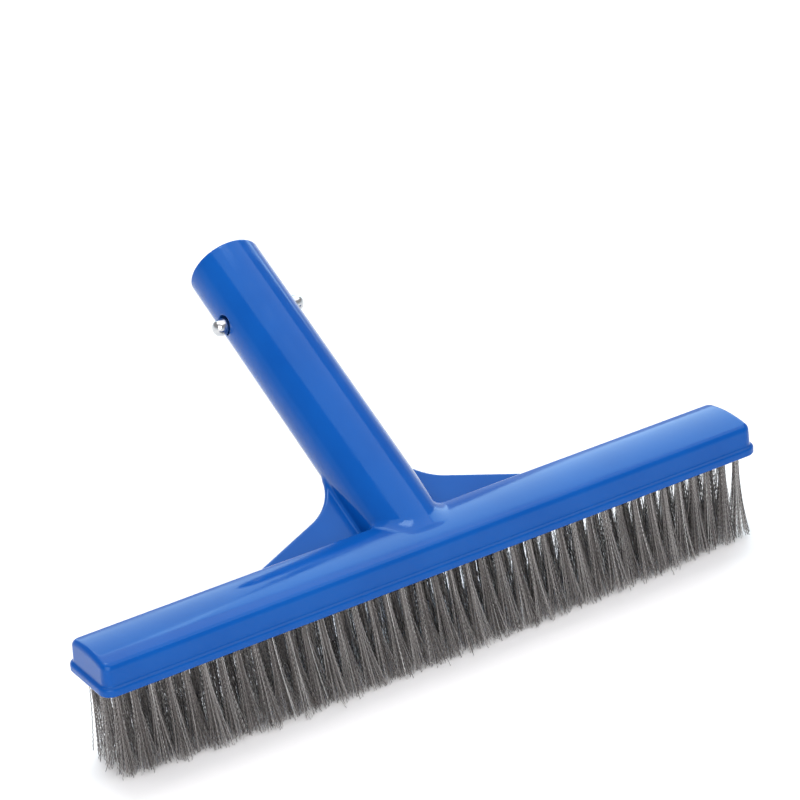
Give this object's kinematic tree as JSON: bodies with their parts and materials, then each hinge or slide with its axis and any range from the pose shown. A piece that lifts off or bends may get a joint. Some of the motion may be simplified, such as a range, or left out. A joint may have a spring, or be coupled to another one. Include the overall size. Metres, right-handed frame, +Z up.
{
  "type": "pool wall brush",
  "caption": "Pool wall brush: a long plastic head with steel wire tufts and a hollow tube, leaning back, that locks into a pole with a sprung V-clip.",
  "frame": {"origin": "on the floor that the wire tips stand on, under the middle of the brush's outline, head and tube together", "axes": "+X along the head, +Y towards the pole tube, +Z up from the wire tips"},
  "size_m": [0.27, 0.1508, 0.1144],
  "materials": {
    "blue_plastic": "gloss",
    "block_plastic": "satin",
    "wire": "satin",
    "spring_steel": "satin",
    "pin_steel": "polished"
  },
  "bodies": {
    "brush": {"head_cover": "blue_plastic", "tuft_block": "block_plastic", "tuft_row_01": "wire", "tuft_row_02": "wire", "tuft_row_03": "wire", "tuft_row_04": "wire", "tuft_row_05": "wire", "tuft_row_06": "wire", "tuft_row_07": "wire", "tuft_row_08": "wire", "tuft_row_09": "wire", "tuft_row_10": "wire", "tuft_row_11": "wire", "tuft_row_12": "wire", "tuft_row_13": "wire", "tuft_row_14": "wire", "tuft_row_15": "wire", "tuft_row_16": "wire", "tuft_row_17": "wire", "tuft_row_18": "wire", "tuft_row_19": "wire", "tuft_row_20": "wire", "tuft_row_21": "wire", "tuft_row_22": "wire", "tuft_row_23": "wire", "tuft_row_24": "wire", "tuft_row_25": "wire", "tuft_row_26": "wire", "tuft_row_27": "wire", "tuft_row_28": "wire", "tuft_row_29": "wire", "tuft_row_30": "wire", "tuft_row_31": "wire", "tuft_row_32": "wire", "tuft_row_33": "wire", "tuft_row_34": "wire", "tuft_row_35": "wire", "tuft_row_36": "wire", "tuft_row_37": "wire", "tuft_row_38": "wire", "tuft_row_39": "wire", "tuft_row_40": "wire", "clip_bend": "spring_steel"},
    "left_arm": {"clip_left_arm": "spring_steel", "clip_left_pin": "pin_steel"},
    "right_arm": {"clip_right_arm": "spring_steel", "clip_right_pin": "pin_steel"}
  },
  "joints": [
    {"name": "left_pin_press", "type": "hinge", "parent": "brush", "child": "left_arm", "pos_m": [-0.004, -0.00564, 0.06183], "axis": [0, 0.4772, -0.8788], "range_deg": [0, 4.6], "stiffness_Nm_per_rad": 6, "springref_deg": -5.73},
    {"name": "right_pin_press", "type": "hinge", "parent": "brush", "child": "right_arm", "pos_m": [0.004, -0.00564, 0.06183], "axis": [0, -0.4772, 0.8788], "range_deg": [0, 4.6], "stiffness_Nm_per_rad": 6, "springref_deg": -5.73}
  ]
}
